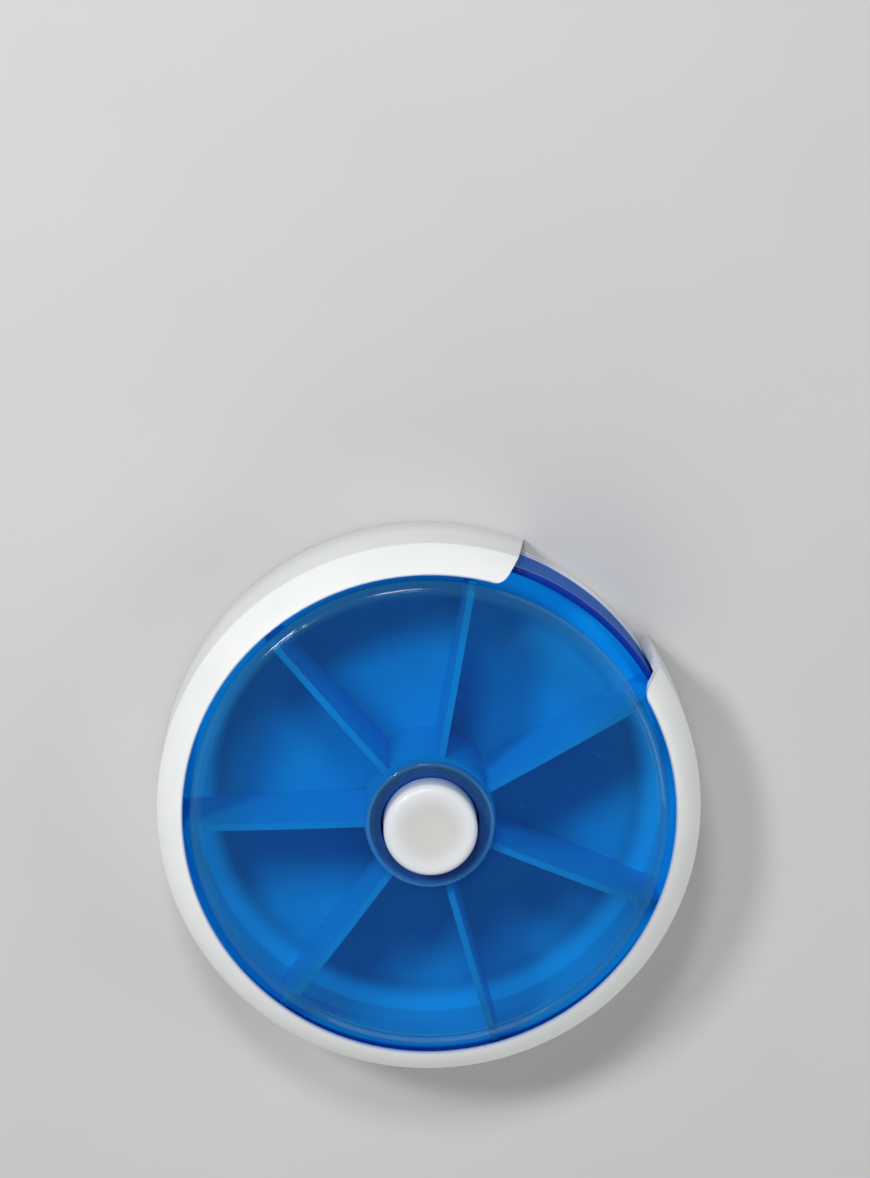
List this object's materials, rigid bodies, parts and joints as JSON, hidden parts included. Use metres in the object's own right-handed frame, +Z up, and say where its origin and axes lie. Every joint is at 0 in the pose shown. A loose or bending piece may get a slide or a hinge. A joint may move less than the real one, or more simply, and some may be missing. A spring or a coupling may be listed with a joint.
{
  "type": "rotary pill dispenser",
  "caption": "Round push-button pill dispenser: a clear-covered compartment wheel turns in a white ring, and one compartment at a time opens at the exit notch.",
  "frame": {"origin": "centre of the flat face that it rests on", "axes": "+Z up along the wheel's axis to the button, -Y out through the exit notch"},
  "size_m": [0.115, 0.1126, 0.0379],
  "materials": {
    "white_shell": "satin moulded, light gloss",
    "blue_tray": "tinted, part see-through",
    "blue_clear": "clear tinted plastic, gloss",
    "blue_collar": "tinted, gloss",
    "white_mechanism": "as moulded",
    "white_button": "satin moulded",
    "spring_steel": "drawn wire"
  },
  "bodies": {
    "housing": {"housing_ring": "white_shell", "base_plate": "white_shell"},
    "carousel": {"carousel_tray": "blue_tray", "carousel_cover": "blue_clear", "hub_collar": "blue_collar", "spring_plate": "white_mechanism", "index_spring": "white_mechanism", "button_spring": "spring_steel"},
    "button": {"push_button": "white_button"}
  },
  "joints": [
    {"name": "carousel_spin", "type": "hinge", "parent": "housing", "child": "carousel", "pos_m": [0, 0, 0.009], "axis": [0, 0, 1], "continuous": true, "deforming": ["index_spring"]},
    {"name": "button_press", "type": "slide", "parent": "carousel", "child": "button", "axis": [0, 0, -1], "range_m": [0, 0.003], "stiffness_N_per_m": 500, "springref_m": -0.002, "deforming": ["button_spring", "index_spring"]}
  ]
}
